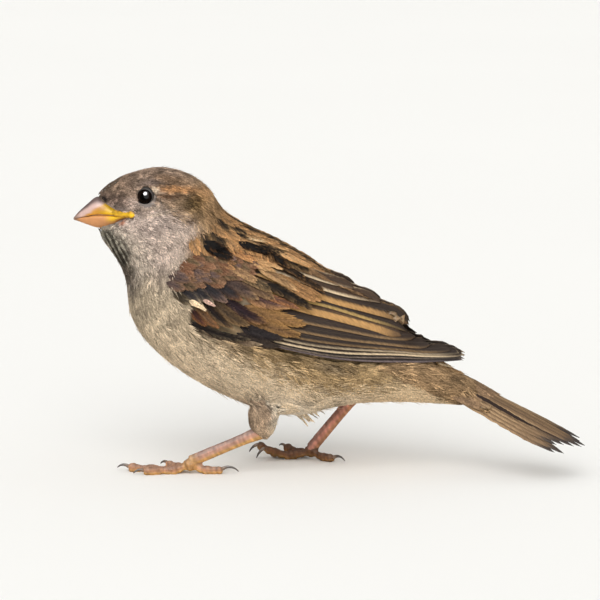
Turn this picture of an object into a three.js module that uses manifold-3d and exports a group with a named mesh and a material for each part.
// A house sparrow standing on both feet, life size, as a museum model of separate named solids.
// Millimetres, +Z up. The bird faces -Y, its left side is +X, and the floor under its feet is z = 0.
import * as THREE from 'three';
import { mergeVertices } from 'three/addons/utils/BufferGeometryUtils.js';
import Module from 'manifold-3d';

const wasm = await Module();
wasm.setup();

// ---------------------------------------------------------------- driving dimensions

const GAP = 0.3; // clearance between neighbouring solids
const FULL_TURN = Math.PI * 2;

const BODY_RINGS = 30;
const BODY_SIDES = 24;

// Hoops round the body from the face to the tail coverts. Each hoop is stretched between a point
// of the back (y, z) and a point of the underside (y, z), and has its own half width.
const HOOPS = [
  { back: [-62.4, 73.7], belly: [-61.8, 66.3], half: 2.4 },
  { back: [-58.8, 77.8], belly: [-60.9, 62.3], half: 5.0 },
  { back: [-52.6, 80.7], belly: [-58.9, 59.6], half: 7.3 },
  { back: [-45.0, 81.6], belly: [-57.0, 56.9], half: 9.0 },
  { back: [-37.6, 79.8], belly: [-55.6, 54.2], half: 9.8 },
  { back: [-32.1, 75.8], belly: [-54.5, 50.9], half: 10.5 },
  { back: [-28.2, 69.8], belly: [-54.0, 46.5], half: 12.2 },
  { back: [-22.8, 66.0], belly: [-53.2, 41.5], half: 15.2 },
  { back: [-13.8, 61.9], belly: [-48.5, 34.0], half: 18.0 },
  { back: [-2.8, 55.4], belly: [-36.8, 24.7], half: 18.8 },
  { back: [8.0, 47.8], belly: [-23.0, 18.1], half: 17.4 },
  { back: [18.0, 39.8], belly: [-10.5, 14.6], half: 14.2 },
  { back: [26.5, 32.6], belly: [6.0, 18.2], half: 10.4 },
  { back: [33.2, 27.4], belly: [23.0, 18.8], half: 7.6 },
  { back: [39.5, 24.2], belly: [36.5, 18.0], half: 5.2 },
];
const HOOP_FULLNESS = 0.88; // below 1 a hoop is boxier than an ellipse

// Soft swellings and hollows of the head, on both sides: place, reach and height along x.
const HEAD_SWELLINGS = [
  { at: [8.5, -44.0, 68.5], reach: 6.0, height: 0.7 }, // ear coverts
  { at: [6.0, -49.5, 77.5], reach: 4.0, height: 0.5 }, // brow
  { at: [5.0, -56.0, 73.0], reach: 3.4, height: -0.5 }, // lore
  { at: [7.0, -54.0, 67.0], reach: 4.0, height: -0.5 }, // beside the gape
];

const HEAD_CUT = { back: [-30.6, 73.9], belly: [-56.4, 57.1] };
const NECK_CUT = { back: [-24.4, 67.7], belly: [-55.0, 48.5] };

const EYE = { at: [6.1, -48.2, 74.4], radius: 2.7 };

// Bill outline in side view: y, top of the upper mandible, cutting edge, bottom of the lower
// mandible, half width. Behind the feather line the top falls to the gape.
const BILL = [
  { y: -68.8, top: 67.8, edge: 67.5, bottom: 67.2, half: 0.3 },
  { y: -67.4, top: 69.4, edge: 67.8, bottom: 66.8, half: 1.05 },
  { y: -65.1, top: 71.5, edge: 68.3, bottom: 66.0, half: 2.1 },
  { y: -62.4, top: 73.5, edge: 68.8, bottom: 65.2, half: 3.1 },
  { y: -60.0, top: 72.8, edge: 68.95, bottom: 65.2, half: 3.9 },
  { y: -57.4, top: 71.5, edge: 68.95, bottom: 65.9, half: 4.9 },
  { y: -55.4, top: 70.6, edge: 69.1, bottom: 67.1, half: 5.8 },
  { y: -52.6, top: 70.2, edge: 69.4, bottom: 68.6, half: 6.8 },
];
const BILL_RINGS = 11;
const BILL_SIDES = 12;
const BILL_SQUARENESS = 0.85;
const BILL_ROOM_SQUARENESS = 0.3;
const BILL_LEAST_HEIGHT = 0.12;
// How a point of a mandible's section rises: both mandibles are widest at the cutting edge.
const BILL_LIFT = {
  upper: (rise) => rise ** 2.2,
  lower: (rise) => 1 - (1 - rise) ** 2.2,
  whole: (rise) => rise,
};

// Ribs of the folded left wing from the bend to the tip of the longest primary.
// Each rib runs from its upper edge (x, z) to its lower edge (x, z) and bulges outwards.
const WING_RIBS = [
  { y: -41.0, upper: [13.4, 55.5], lower: [15.8, 43.9], bulge: 0.9 },
  { y: -36.0, upper: [12.2, 59.3], lower: [17.6, 39.7], bulge: 2.7 },
  { y: -28.0, upper: [10.8, 61.1], lower: [19.2, 37.3], bulge: 3.6 },
  { y: -18.0, upper: [9.0, 59.3], lower: [19.8, 35.7], bulge: 4.0 },
  { y: -8.0, upper: [6.8, 56.0], lower: [19.0, 33.5], bulge: 3.8 },
  { y: 2.0, upper: [4.4, 52.0], lower: [16.8, 31.3], bulge: 3.3 },
  { y: 12.0, upper: [2.6, 47.0], lower: [13.2, 30.2], bulge: 2.6 },
  { y: 20.5, upper: [2.2, 42.3], lower: [10.2, 30.0], bulge: 1.7 },
  { y: 24.5, upper: [2.6, 37.4], lower: [8.6, 30.1], bulge: 1.0 },
  { y: 31.0, upper: [3.2, 34.2], lower: [6.4, 30.3], bulge: 0.5 },
  { y: 37.2, upper: [3.6, 31.5], lower: [4.6, 30.7], bulge: 0.1 },
];
const WING_ROWS = 18;
const WING_COLUMNS = 6;
const WING_THICK = { bend: 1.6, arm: 2.4, tip: 0.8, armAt: 0.3 };
const PRIMARIES_CUT = { top: [22.4, 41.5], bottom: [3.0, 28.5] };

const TAIL = {
  root: [0, 33.0, 26.0],
  yaw: 20, // degrees towards the left side
  pitch: 23.8, // degrees below the level
  roll: 16, // degrees, left edge down
  length: 38.4,
  baseHalf: 4.6,
  tipHalf: 7.6,
  baseThick: 3.0,
  tipThick: 0.8,
  roof: 1.7, // how far the edges hang below the middle pair
  fork: 1.6, // how far the outer feathers outreach the middle pair
  feathers: 12,
  point: 2.2, // length of each worn feather point
  pointSharpness: 1.6,
  widening: 0.8,
  roofCurve: 1.6,
  thinBy: 1.5, // the fan reaches its tip thickness at the inverse of this share of its length
};
const TAIL_ROWS = 5;

const EYE_SEGMENTS = [14, 8];

const THIGH = { sides: 12, rings: 8, reach: 1.02, taper: 1.6, closesAt: 0.72, closing: 0.8, least: 0.05 };
const TARSUS = { sides: 10, rings: 5, ankle: 2.1, shaft: 1.55, foot: 1.65, flatten: 0.7, ankleShare: 0.25 };
const FOOT_BALL = { radius: 1.9, squash: 0.9, drop: 0.7, segments: [10, 6] };
const TOE = {
  sides: 8,
  phalanxRings: 3,
  root: 1.3,
  tip: 1.05,
  slimness: 0.92,
  pad: 0.22, // how far the pads stand out between the joints
  rest: 0.75, // lowest height of the centre line over the floor
  drop: 0.9, // from the lower end of the tarsus down to the roots of the toes
  endsAt: 0.94,
  endTaper: 0.72,
};
const CLAW = { sides: 6, rings: 5, root: 0.62, tip: 0.14, slimness: 0.75, lift: 0.2 };
const CUTTER_REACH = 160;
const FLOOR_REACH = 300;

const LEGS = {
  left: {
    side: 1,
    thigh: {
      top: [9.6, -16.2, 22.0], bottom: [10.3, -17.2, 10.0],
      topHalf: [3.9, 4.5], bottomHalf: [2.2, 2.9],
    },
    ankle: [10.2, -17.4, 11.4],
    foot: [10.6, -36.4, 3.2],
    toes: {
      middle: {
        heading: -4, phalanges: [5.8, 5.6, 5.6], lift: [-14, 0, 2],
        claw: { length: 3.6, rise: 42, curl: 96 },
      },
      outer: {
        heading: 14, phalanges: [4.6, 4.2, 4.0], lift: [-17, 0, 0],
        claw: { length: 3.2, rise: 30, curl: 84 },
      },
      inner: {
        heading: -40, phalanges: [4.4, 4.6], lift: [-17, 4],
        claw: { length: 3.2, rise: 30, curl: 84 },
      },
      hallux: {
        heading: 176, phalanges: [4.4, 4.4], lift: [-18, 2],
        claw: { length: 5.2, rise: 40, curl: 92 },
      },
    },
  },
  right: {
    side: -1,
    thigh: {
      top: [-8.6, 5.0, 28.0], bottom: [-8.6, 7.6, 18.6],
      topHalf: [3.6, 3.9], bottomHalf: [2.0, 2.6],
    },
    ankle: [-8.6, 7.8, 19.2],
    foot: [-11.0, -5.1, 3.0],
    toes: {
      middle: {
        heading: 3, phalanges: [5.4, 5.0, 4.8], lift: [-12, 6, 24],
        claw: { length: 3.6, rise: -10, curl: 60 },
      },
      outer: {
        heading: 48, phalanges: [4.2, 4.0, 3.6], lift: [-15, 0, 4],
        claw: { length: 3.2, rise: 40, curl: 84 },
      },
      inner: {
        heading: -12, phalanges: [6.8, 6.6], lift: [-9, 19],
        claw: { length: 3.8, rise: -26, curl: 50 },
      },
      hallux: {
        heading: 216, phalanges: [4.2, 3.8], lift: [-16, 2],
        claw: { length: 4.6, rise: 40, curl: 92 },
      },
    },
  },
};

// ---------------------------------------------------------------- small helpers

const vec = (x, y, z) => new THREE.Vector3(x, y, z);
const radians = THREE.MathUtils.degToRad;
const mix = THREE.MathUtils.lerp;

function spline(points) {
  return new THREE.CatmullRomCurve3(points, false, 'centripetal');
}

// A closed indexed mesh made of rings of `sides` points, with a fan at each end.
function ringSolid(rings) {
  const sides = rings[0].length;
  const positions = rings.flat().flatMap((p) => p.toArray());
  const index = [];
  for (let r = 0; r < rings.length - 1; r += 1) {
    for (let s = 0; s < sides; s += 1) {
      const a = r * sides + s;
      const b = r * sides + ((s + 1) % sides);
      index.push(a, b, b + sides, a, b + sides, a + sides);
    }
  }
  const capCentre = (ring) => {
    const centre = ring.reduce((sum, p) => sum.add(p), vec(0, 0, 0)).divideScalar(sides);
    positions.push(...centre.toArray());
    return positions.length / 3 - 1;
  };
  const first = capCentre(rings[0]);
  const last = capCentre(rings[rings.length - 1]);
  const lastRing = (rings.length - 1) * sides;
  for (let s = 0; s < sides; s += 1) {
    const next = (s + 1) % sides;
    index.push(first, next, s);
    index.push(last, lastRing + s, lastRing + next);
  }
  return toSolid(positions, index);
}

// Turns points and triangles into a solid, with the faces turned outwards.
function toSolid(positions, index) {
  const geometry = new THREE.BufferGeometry();
  geometry.setAttribute('position', new THREE.Float32BufferAttribute(positions, 3));
  geometry.setIndex(index);
  return solidOf(geometry);
}

function solidOf(geometry) {
  geometry.deleteAttribute('normal');
  geometry.deleteAttribute('uv');
  const merged = mergeVertices(geometry, 1e-4);
  const vertProperties = new Float32Array(merged.attributes.position.array);
  const triVerts = new Uint32Array(merged.index.array);
  if (signedVolume(vertProperties, triVerts) < 0) {
    for (let i = 0; i < triVerts.length; i += 3) {
      [triVerts[i + 1], triVerts[i + 2]] = [triVerts[i + 2], triVerts[i + 1]];
    }
  }
  return new wasm.Manifold(new wasm.Mesh({ numProp: 3, vertProperties, triVerts }));
}

function signedVolume(positions, triangles) {
  let volume = 0;
  const corner = (i) => vec(...positions.slice(3 * triangles[i], 3 * triangles[i] + 3));
  for (let i = 0; i < triangles.length; i += 3) {
    volume += corner(i).dot(corner(i + 1).cross(corner(i + 2))) / 6;
  }
  return volume;
}

// The largest piece of a solid: a cut can leave crumbs at a thin edge.
function largest(solid) {
  const pieces = solid.decompose();
  return pieces.reduce((best, piece) => (piece.volume() > best.volume() ? piece : best));
}

function boxSolid(size, matrix) {
  const geometry = new THREE.BoxGeometry(...size);
  geometry.applyMatrix4(matrix);
  return solidOf(geometry);
}

const BELOW_FLOOR = boxSolid(
  [FLOOR_REACH, FLOOR_REACH, FLOOR_REACH],
  new THREE.Matrix4().makeTranslation(0, 0, -FLOOR_REACH / 2),
);

// A half space box whose face runs across the body through two points of the side view.
// It lies on the side of the tail, or of the head when `towardsHead` is set.
function sideOf({ back, belly }, towardsHead, inset) {
  const edge = vec(0, back[0] - belly[0], back[1] - belly[1]).normalize();
  const across = vec(1, 0, 0);
  const away = vec(0, 0, 0).crossVectors(edge, across);
  if ((away.y < 0) !== towardsHead) {
    away.negate();
  }
  const centre = vec(0, (back[0] + belly[0]) / 2, (back[1] + belly[1]) / 2);
  centre.addScaledVector(away, CUTTER_REACH / 2 + inset);
  const matrix = new THREE.Matrix4().makeBasis(across, edge, vec(0, 0, 0).crossVectors(across, edge));
  matrix.setPosition(centre);
  return boxSolid([CUTTER_REACH, CUTTER_REACH, CUTTER_REACH], matrix);
}

// ---------------------------------------------------------------- head, neck and trunk

const backLine = spline(HOOPS.map((h) => vec(0, ...h.back)));
const bellyLine = spline(HOOPS.map((h) => vec(0, ...h.belly)));
const halfWidths = spline(HOOPS.map((h, i) => vec(h.half, i, 0)));

function swell(point) {
  for (const { at, reach, height } of HEAD_SWELLINGS) {
    const distance = vec(Math.abs(point.x), point.y, point.z).distanceTo(vec(...at));
    point.x += Math.sign(point.x) * height * Math.exp(-((distance / reach) ** 2));
  }
  return point;
}

function bodyHoop(t) {
  const back = backLine.getPoint(t);
  const belly = bellyLine.getPoint(t);
  const half = halfWidths.getPoint(t).x;
  return Array.from({ length: BODY_SIDES }, (_, s) => {
    const angle = (FULL_TURN * s) / BODY_SIDES;
    const point = back.clone().lerp(belly, (1 - Math.cos(angle)) / 2);
    const across = Math.sin(angle);
    point.x = half * Math.sign(across) * Math.abs(across) ** HOOP_FULLNESS;
    return swell(point);
  });
}

const wholeBody = ringSolid(
  Array.from({ length: BODY_RINGS + 1 }, (_, r) => bodyHoop(r / BODY_RINGS)),
);

// ---------------------------------------------------------------- bill

const billLine = (key) => spline(BILL.map((b) => vec(b[key], b.y, 0)));
const billLines = {
  top: billLine('top'),
  edge: billLine('edge'),
  bottom: billLine('bottom'),
  half: billLine('half'),
};

// One mandible, or the whole bill grown on every side as the hollow that the head leaves for it.
function billSolid(part, grow) {
  const rings = [];
  for (let r = 0; r <= BILL_RINGS; r += 1) {
    const t = r / BILL_RINGS;
    const at = (key) => billLines[key].getPoint(t);
    const y = at('top').y + (grow ? mix(-1, 1, t) * GAP : 0);
    const half = at('half').x + grow;
    const upper = part === 'lower' ? at('edge').x - GAP / 2 : at('top').x + (grow ? GAP : 0);
    const lower = part === 'upper' ? at('edge').x + GAP / 2 : at('bottom').x - (grow ? GAP : 0);
    const height = Math.max(upper - lower, BILL_LEAST_HEIGHT);
    rings.push(
      Array.from({ length: BILL_SIDES }, (_, s) => {
        const angle = (FULL_TURN * s) / BILL_SIDES;
        const across = Math.sin(angle);
        const rise = (1 + Math.cos(angle)) / 2;
        const squareness = part === 'whole' ? BILL_ROOM_SQUARENESS : BILL_SQUARENESS;
        const x = half * Math.sign(across) * Math.abs(across) ** squareness;
        return vec(x, y, lower + height * BILL_LIFT[part](rise));
      }),
    );
  }
  return ringSolid(rings);
}

const LATERAL_ROOM = 3.0; // the feathers stand back from the sides of the bill
const billRoom = billSolid('whole', LATERAL_ROOM);

// ---------------------------------------------------------------- eyes

function eyeSolid(side, grow) {
  const geometry = new THREE.SphereGeometry(EYE.radius + grow, ...EYE_SEGMENTS);
  geometry.rotateZ(Math.PI / 2);
  geometry.translate(side * EYE.at[0], EYE.at[1], EYE.at[2]);
  return solidOf(geometry);
}

// ---------------------------------------------------------------- wings

const wingUpper = spline(WING_RIBS.map((r) => vec(r.upper[0], r.y, r.upper[1])));
const wingLower = spline(WING_RIBS.map((r) => vec(r.lower[0], r.y, r.lower[1])));
const wingBulge = spline(WING_RIBS.map((r, i) => vec(r.bulge, i, 0)));

// A point of the outer face of the folded wing: u runs from bend to tip, v from upper to lower edge.
function wingPoint(u, v) {
  const upper = wingUpper.getPoint(u);
  const lower = wingLower.getPoint(u);
  const point = upper.clone().lerp(lower, v);
  const outwards = vec(upper.z - lower.z, 0, lower.x - upper.x).normalize();
  return point.addScaledVector(outwards, wingBulge.getPoint(u).x * Math.sin(Math.PI * v));
}

function wingThickness(u) {
  const { bend, arm, tip, armAt } = WING_THICK;
  return u < armAt ? mix(bend, arm, u / armAt) : mix(arm, tip, (u - armAt) / (1 - armAt));
}

// A closed slab under a curved face. `above` lifts its outer face, `below` deepens it and
// `margin` widens it on all four edges.
function slabSolid({ rows, columns, pointAt, thickness, above = 0, below = 0, margin = 0 }) {
  const STEP = 1e-3;
  const outer = [];
  const inner = [];
  for (let r = 0; r <= rows; r += 1) {
    for (let c = 0; c <= columns; c += 1) {
      const u = r / rows;
      const v = c / columns;
      const uInside = Math.min(Math.max(u, STEP), 1 - STEP);
      const vInside = Math.min(Math.max(v, STEP), 1 - STEP);
      const alongU = pointAt(uInside + STEP, vInside).sub(pointAt(uInside - STEP, vInside)).normalize();
      const alongV = pointAt(uInside, vInside + STEP).sub(pointAt(uInside, vInside - STEP)).normalize();
      const normal = vec(0, 0, 0).crossVectors(alongV, alongU).normalize();
      const point = pointAt(u, v);
      point.addScaledVector(alongU, margin * (r === 0 ? -1 : r === rows ? 1 : 0));
      point.addScaledVector(alongV, margin * (c === 0 ? -1 : c === columns ? 1 : 0));
      outer.push(point.clone().addScaledVector(normal, above));
      inner.push(point.clone().addScaledVector(normal, -thickness(u, v) - below));
    }
  }
  return toSolid([...outer, ...inner].flatMap((p) => p.toArray()), slabIndex(rows, columns));
}

function slabIndex(rows, columns) {
  const width = columns + 1;
  const layer = width * (rows + 1);
  const index = [];
  const quad = (a, b, c, d) => index.push(a, b, c, a, c, d);
  for (let r = 0; r < rows; r += 1) {
    for (let c = 0; c < columns; c += 1) {
      const a = r * width + c;
      quad(a, a + 1, a + width + 1, a + width);
      quad(layer + a, layer + a + width, layer + a + width + 1, layer + a + 1);
    }
    const start = r * width;
    const end = start + columns;
    quad(start, start + width, layer + start + width, layer + start);
    quad(end, layer + end, layer + end + width, end + width);
  }
  for (let c = 0; c < columns; c += 1) {
    const far = rows * width + c;
    quad(c, layer + c, layer + c + 1, c + 1);
    quad(far, far + 1, layer + far + 1, layer + far);
  }
  return index;
}

function wingSlab(extra) {
  return slabSolid({
    rows: WING_ROWS,
    columns: WING_COLUMNS,
    pointAt: wingPoint,
    thickness: wingThickness,
    ...extra,
  });
}

const leftWing = wingSlab({});
const leftWingRoom = wingSlab({ above: 2, below: GAP, margin: GAP });

function mirrored(solid) {
  return solid.mirror([1, 0, 0]);
}

function primariesSide(towardsHead, inset) {
  return sideOf({ back: PRIMARIES_CUT.top, belly: PRIMARIES_CUT.bottom }, towardsHead, inset);
}

// ---------------------------------------------------------------- tail

const tailMatrix = new THREE.Matrix4()
  .makeTranslation(...TAIL.root)
  .multiply(new THREE.Matrix4().makeRotationZ(radians(-TAIL.yaw)))
  .multiply(new THREE.Matrix4().makeRotationX(radians(-TAIL.pitch)))
  .multiply(new THREE.Matrix4().makeRotationY(radians(TAIL.roll)));

// The fan of twelve feathers: u runs from root to tips, v across from the right to the left edge.
function tailPoint(u, v) {
  const across = 2 * v - 1;
  const half = mix(TAIL.baseHalf, TAIL.tipHalf, u ** TAIL.widening);
  const feather = Math.abs(((v * TAIL.feathers) % 1) - 0.5) * 2;
  const notch = TAIL.point * feather ** TAIL.pointSharpness;
  const reach = TAIL.length + TAIL.fork * (across ** 2 - 1) - notch;
  const drop = TAIL.roof * Math.abs(across) ** TAIL.roofCurve;
  return vec(across * half, u * reach, -drop).applyMatrix4(tailMatrix);
}

function tailSlab(extra) {
  return slabSolid({
    rows: TAIL_ROWS,
    columns: TAIL.feathers * 2,
    pointAt: tailPoint,
    thickness: (u) => mix(TAIL.baseThick, TAIL.tipThick, Math.min(1, u * TAIL.thinBy)),
    ...extra,
  });
}

// ---------------------------------------------------------------- legs

// A tapering limb along a curve. `radiusAt(t)` gives its half width and half depth.
function limbSolid(points, rings, sides, radiusAt, grow = 0) {
  const curve = spline(points);
  const made = [];
  for (let r = 0; r <= rings; r += 1) {
    const t = r / rings;
    const centre = curve.getPoint(t);
    const along = curve.getTangent(t);
    const wide = vec(along.y, -along.x, 0);
    if (wide.length() < 0.2) {
      wide.set(1, 0, 0);
    }
    wide.normalize();
    const deep = vec(0, 0, 0).crossVectors(wide, along).normalize();
    const [halfWide, halfDeep] = radiusAt(t);
    made.push(
      Array.from({ length: sides }, (_, s) => {
        const angle = (FULL_TURN * (s + 0.5)) / sides;
        return centre
          .clone()
          .addScaledVector(wide, (halfWide + grow) * Math.cos(angle))
          .addScaledVector(deep, (halfDeep + grow) * Math.sin(angle));
      }),
    );
  }
  return ringSolid(made);
}

const standing = (solid) => solid.subtract(BELOW_FLOOR);

function thighSolid({ top, bottom, topHalf, bottomHalf }, grow) {
  const end = vec(...top).lerp(vec(...bottom), THIGH.reach);
  const radius = (t) => {
    const rounding = Math.max(0, (t - THIGH.closesAt) / (1 - THIGH.closesAt)) ** 2;
    const close = Math.sqrt(Math.max(THIGH.least, 1 - rounding * THIGH.closing));
    return [0, 1].map((i) => mix(topHalf[i], bottomHalf[i], t ** THIGH.taper) * close);
  };
  return limbSolid([vec(...top), end], THIGH.rings, THIGH.sides, radius, grow);
}

function tarsusSolid({ ankle, foot }, grow) {
  const share = TARSUS.ankleShare;
  const shaft = (t) => {
    const upper = mix(TARSUS.ankle, TARSUS.shaft, t / share);
    const lower = mix(TARSUS.shaft, TARSUS.foot, (t - share) / (1 - share));
    const half = t < share ? upper : lower;
    return [half * TARSUS.flatten, half];
  };
  const bone = limbSolid([vec(...ankle), vec(...foot)], TARSUS.rings, TARSUS.sides, shaft, grow);
  const ball = new THREE.SphereGeometry(FOOT_BALL.radius + grow, ...FOOT_BALL.segments);
  ball.scale(1, 1, FOOT_BALL.squash);
  ball.translate(foot[0], foot[1], foot[2] - FOOT_BALL.drop);
  return standing(bone.add(solidOf(ball)));
}

// The centre line of a toe: phalanges one after another, each with its own lift in degrees.
function toePoints(leg, toe) {
  const heading = radians(toe.heading);
  const point = vec(leg.foot[0], leg.foot[1], leg.foot[2] - TOE.drop);
  const points = [point.clone()];
  toe.phalanges.forEach((length, i) => {
    const lift = radians(toe.lift[i]);
    const flat = length * Math.cos(lift);
    point.x += leg.side * Math.sin(heading) * flat;
    point.y -= Math.cos(heading) * flat;
    point.z = Math.max(point.z + length * Math.sin(lift), TOE.rest);
    points.push(point.clone());
  });
  return points;
}

function toeSolid(leg, toe, grow) {
  const count = toe.phalanges.length;
  const rings = count * TOE.phalanxRings;
  const radius = (t) => {
    const pad = TOE.pad * Math.cos(FULL_TURN * t * count) ** 2 - TOE.pad;
    const end = t > TOE.endsAt ? TOE.endTaper : 1;
    const r = (mix(TOE.root, TOE.tip, t) + pad) * end;
    return [r * TOE.slimness, r];
  };
  return standing(limbSolid(toePoints(leg, toe), rings, TOE.sides, radius, grow));
}

function clawSolid(leg, toe) {
  const path = toePoints(leg, toe);
  const tip = path[path.length - 1];
  const heading = radians(toe.heading);
  const steps = CLAW.rings;
  const point = tip.clone();
  point.z += CLAW.lift;
  const points = [point.clone()];
  for (let i = 1; i <= steps; i += 1) {
    const pitch = radians(toe.claw.rise - (toe.claw.curl * (i - 0.5)) / steps);
    const flat = (toe.claw.length / steps) * Math.cos(pitch);
    point.x += leg.side * Math.sin(heading) * flat;
    point.y -= Math.cos(heading) * flat;
    point.z += (toe.claw.length / steps) * Math.sin(pitch);
    points.push(point.clone());
  }
  return limbSolid(points, steps, CLAW.sides, (t) => {
    const r = mix(CLAW.root, CLAW.tip, t);
    return [r * CLAW.slimness, r];
  });
}

// ---------------------------------------------------------------- the bird

const COLOURS = {
  headBrown: 0x75675a,
  neckBrown: 0x8d7a66,
  bodyBuff: 0xb3a58f,
  wingBrown: 0x5d4634,
  primaryBrown: 0x463a30,
  tailBrown: 0x6b573f,
  billHorn: 0xb98e6a,
  billYellow: 0xe0a23c,
  eyeBlack: 0x0a0806,
  thighBuff: 0x9c8b73,
  legPink: 0xb08a78,
  toePink: 0xc09a78,
  clawGrey: 0x3c3a38,
};

const bird = new THREE.Group();

function addPart(name, solid, color, roughness = 0.85) {
  const mesh = solid.getMesh();
  const geometry = new THREE.BufferGeometry();
  const positions = [];
  for (let i = 0; i < mesh.numVert; i += 1) {
    positions.push(...mesh.vertProperties.slice(i * mesh.numProp, i * mesh.numProp + 3));
  }
  geometry.setAttribute('position', new THREE.Float32BufferAttribute(positions, 3));
  geometry.setIndex([...mesh.triVerts]);
  const part = new THREE.Mesh(geometry, new THREE.MeshStandardMaterial({ color, roughness, metalness: 0 }));
  part.name = name;
  bird.add(part);
}

const wings = { left: leftWing, right: mirrored(leftWing) };
const wingRooms = { left: leftWingRoom, right: mirrored(leftWingRoom) };
const tail = tailSlab({});
const tailRoom = tailSlab({ above: GAP, below: GAP, margin: GAP });

const flesh = [billRoom, eyeSolid(1, GAP), eyeSolid(-1, GAP), wingRooms.left, wingRooms.right, tailRoom]
  .concat(Object.values(LEGS).map((leg) => thighSolid(leg.thigh, GAP)))
  .reduce((solid, room) => solid.subtract(room), wholeBody);

const head = flesh.subtract(sideOf(HEAD_CUT, false, -GAP / 2));
const neck = flesh.subtract(sideOf(HEAD_CUT, true, -GAP / 2)).subtract(sideOf(NECK_CUT, false, -GAP / 2));
const trunk = flesh.subtract(sideOf(NECK_CUT, true, -GAP / 2));

addPart('head', largest(head), COLOURS.headBrown);
addPart('neck', largest(neck), COLOURS.neckBrown);
addPart('trunk', largest(trunk), COLOURS.bodyBuff);
addPart('tail', tail, COLOURS.tailBrown);
addPart('bill_upper', billSolid('upper', 0), COLOURS.billHorn, 0.4);
addPart('bill_lower', billSolid('lower', 0), COLOURS.billYellow, 0.4);

for (const [sideName, leg] of Object.entries(LEGS)) {
  addPart(`eye_${sideName}`, eyeSolid(leg.side, 0), COLOURS.eyeBlack, 0.08);

  const wing = wings[sideName];
  const arm = wing.subtract(primariesSide(false, -GAP / 2));
  const quills = wing.subtract(primariesSide(true, -GAP / 2));
  addPart(`wing_${sideName}`, largest(arm), COLOURS.wingBrown);
  addPart(`primaries_${sideName}`, largest(quills), COLOURS.primaryBrown);

  const tarsusRoom = tarsusSolid(leg, GAP);
  addPart(`thigh_${sideName}`, largest(thighSolid(leg.thigh, 0).subtract(tarsusRoom)), COLOURS.thighBuff);
  addPart(`tarsus_${sideName}`, tarsusSolid(leg, 0), COLOURS.legPink, 0.6);

  let taken = tarsusRoom;
  for (const [toeName, toe] of Object.entries(leg.toes)) {
    const solid = largest(toeSolid(leg, toe, 0).subtract(taken));
    addPart(`toe_${toeName}_${sideName}`, solid, COLOURS.toePink, 0.6);
    const claw = standing(clawSolid(leg, toe)).subtract(toeSolid(leg, toe, GAP));
    addPart(`claw_${toeName}_${sideName}`, largest(claw), COLOURS.clawGrey, 0.45);
    taken = taken.add(toeSolid(leg, toe, GAP));
  }
}

// The origin is on the floor under the middle of the bird's box.
const extent = new THREE.Box3().setFromObject(bird);
const middle = extent.getCenter(vec(0, 0, 0));
bird.position.set(-middle.x, -middle.y, -extent.min.z);

export default bird;
